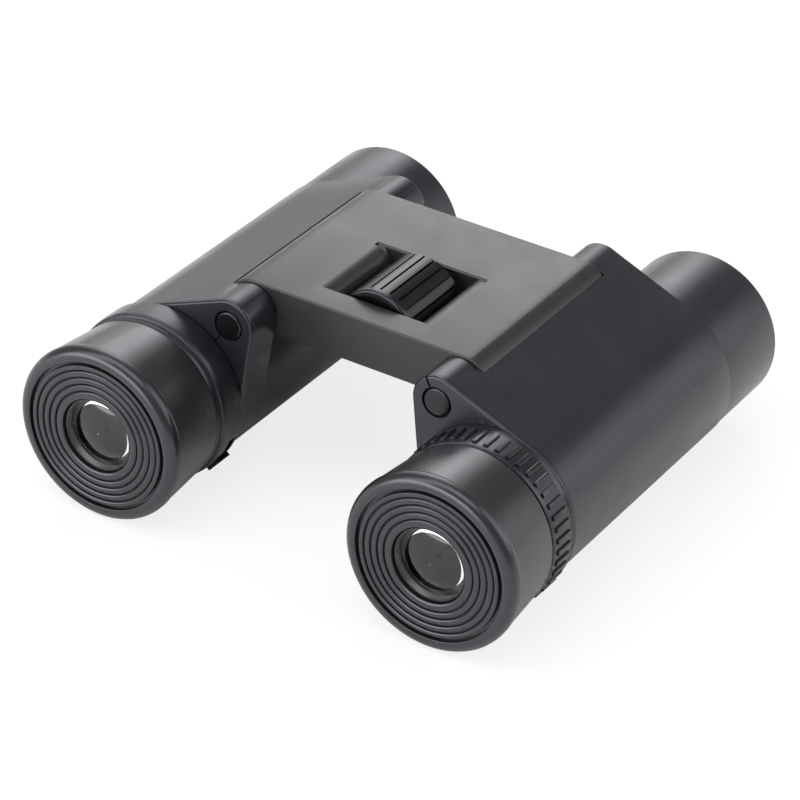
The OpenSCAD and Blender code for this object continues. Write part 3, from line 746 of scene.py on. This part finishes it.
def hinge_caps(side):
    """The two domed caps over a hinge pin, as one piece."""
    place = barrel_place(side)
    name = SIDE_NAME[side]
    radius, proud, depth, edge_round, edge_drop = 2.75, 0.22, 1.1, 0.45, 0.17
    segments, edge_steps = 96, 6
    profile = [(0.0, -proud), (1.0, -proud + 0.03), (radius - edge_round - 0.25, -proud + 0.12)]
    for k in range(edge_steps + 1):
        turn = math.pi / 2 * (1 - k / edge_steps)
        profile.append((radius - edge_round + edge_round * math.cos(turn),
                        -proud + edge_drop + edge_round - edge_round * math.sin(turn)))
    profile += [(radius, depth), (0.0, depth)]
    count = len(profile)
    vertices, faces = [], []
    for face, inward in ((housing_start, 1), (housing_end, -1)):
        base = len(vertices)
        for k in range(segments):
            turn = 2 * math.pi * k / segments
            vertices += [place(hinge_u + r * math.cos(turn), face + inward * s, hinge_w + r * math.sin(turn))
                         for r, s in profile]
            here, ahead = base + k * count, base + (k + 1) % segments * count
            faces += [(here + i, here + i + 1, ahead + i + 1, ahead + i) for i in range(count - 1)]
    piece = finish_mesh(f"{name}_hinge_caps_domed", vertices, faces)
    return stand_for(piece, f"{name}_barrel", f"{name}_hinge_caps")


def round_lug(side):
    """Rounds the corners of a strap lug, which keeps its CAD mesh."""
    edge = nodes[f"{SIDE_NAME[side]}_strap_lug"].modifiers.new("edge", "BEVEL")
    edge.width = 0.75 * MM
    edge.segments = 5


for side in (RIGHT, LEFT):
    housing(side)
    eyecup(side)
    eye_lens_rim(side)
    objective_tube(side)
    hinge_caps(side)
    round_lug(side)
bridge()
focus_wheel()
dioptre_ring()
collar()

# ---- Floor, light and camera ----


def softbox(name, azimuth, elevation, width, height, radiance):
    """A rectangular light far from the object, aimed at its middle. Azimuth 0 is beyond the objectives
    and 90 is on the right, and the width and height are the angles that it covers, all in degrees."""
    distance = 1.2
    turn, rise = math.radians(azimuth), math.radians(elevation)
    out = Vector((math.sin(turn) * math.cos(rise), math.cos(turn) * math.cos(rise), math.sin(rise)))
    lamp = bpy.data.lights.new(name, "AREA")
    lamp.shape = "RECTANGLE"
    lamp.size = 2 * distance * math.tan(math.radians(width / 2))
    lamp.size_y = 2 * distance * math.tan(math.radians(height / 2))
    lamp.energy = radiance * math.pi * lamp.size * lamp.size_y
    holder = bpy.data.objects.new(name, lamp)
    bpy.context.scene.collection.objects.link(holder)
    holder.location = (cad_low + cad_high) / 2 + out * distance
    holder.rotation_euler = (-out).to_track_quat("-Z", "Y").to_euler()


def camera_sees(tree, seen, lit, share):
    """Mixes two shaders, so that the camera sees the first one with this share."""
    path = tree.nodes.new("ShaderNodeLightPath")
    part = tree.nodes.new("ShaderNodeMath")
    part.operation = "MULTIPLY"
    part.inputs[1].default_value = share
    blend = tree.nodes.new("ShaderNodeMixShader")
    tree.links.new(path.outputs["Is Camera Ray"], part.inputs[0])
    tree.links.new(part.outputs[0], blend.inputs[0])
    tree.links.new(lit, blend.inputs[1])
    tree.links.new(seen, blend.inputs[2])
    return blend.outputs[0]


def paper_floor():
    """A white floor that shows only a faint shadow."""
    half, drop, seen_share, own_glow = 4.0, 0.02, 0.8, 0.04
    height = cad_low.z - drop * MM
    corners = [Vector((x * half, y * half, height)) for x, y in ((-1, -1), (1, -1), (1, 1), (-1, 1))]
    floor = finish_mesh("floor", corners, [(0, 1, 2, 3)])
    material, tree, surface = node_material("floor_paper")
    surface.inputs["Base Color"].default_value = (0.9, 0.9, 0.9, 1)
    surface.inputs["Roughness"].default_value = 0.9
    surface.inputs["Specular IOR Level"].default_value = 0.2
    surface.inputs["Emission Color"].default_value = (1, 1, 1, 1)
    surface.inputs["Emission Strength"].default_value = own_glow
    glow = tree.nodes.new("ShaderNodeEmission")
    tree.links.new(camera_sees(tree, glow.outputs[0], surface.outputs[0], seen_share),
                   tree.nodes["Material Output"].inputs["Surface"])
    floor.data.materials.append(material)


def studio():
    """White all round as the camera sees it, dimmer as it lights the object, and eight soft lights."""
    world = bpy.data.worlds.new("studio")
    world.use_nodes = True
    tree = world.node_tree
    room = tree.nodes["Background"]
    room.inputs["Color"].default_value = (1, 1, 1, 1)
    room.inputs["Strength"].default_value = 0.32    # what the room adds to the light
    sweep = tree.nodes.new("ShaderNodeBackground")
    sweep.inputs["Color"].default_value = (1, 1, 1, 1)
    tree.links.new(camera_sees(tree, sweep.outputs[0], room.outputs[0], 1.0),
                   tree.nodes["World Output"].inputs["Surface"])
    bpy.context.scene.world = world

    softbox("window_light", 329, 35, 19, 32, 2.2)
    softbox("window_glow", 324, 33, 42, 54, 1.1)
    softbox("back_light", 340, 30, 18, 58, 0.45)
    softbox("front_light", 205, 11, 60, 26, 5.6)
    softbox("left_light", 225, 40, 24, 30, 2.7)
    softbox("right_light", 66, 33, 36, 44, 2.0)
    softbox("low_right_light", 45, 14, 32, 26, 1.0)
    softbox("top_light", 182, 75, 54, 36, 2.8)
    bpy.context.scene.view_settings.view_transform = "Standard"


def camera():
    """A long lens from behind, above and to the right, a little rolled."""
    azimuth, elevation, roll = (math.radians(value) for value in (30.66, 31.84, 2.88))
    distance, target = 0.6997, Vector((-11.89, 16.98, -0.25)) * MM
    back = Vector((math.sin(azimuth) * math.cos(elevation), -math.cos(azimuth) * math.cos(elevation),
                   math.sin(elevation)))
    right = Vector((math.cos(azimuth), math.sin(azimuth), 0))
    up = back.cross(right)
    rolled_right = right * math.cos(roll) + up * math.sin(roll)
    rolled_up = up * math.cos(roll) - right * math.sin(roll)
    data = bpy.data.cameras.new("camera")
    data.lens, data.sensor_width = 162.26, 36
    data.clip_start, data.clip_end = 0.01, 50
    holder = bpy.data.objects.new("camera", data)
    bpy.context.scene.collection.objects.link(holder)
    columns = (rolled_right, rolled_up, back)
    for row in range(3):
        for column in range(3):
            holder.matrix_world[row][column] = columns[column][row]
        holder.matrix_world[row][3] = (target + back * distance)[row]
    bpy.context.scene.camera = holder


paper_floor()
studio()
camera()
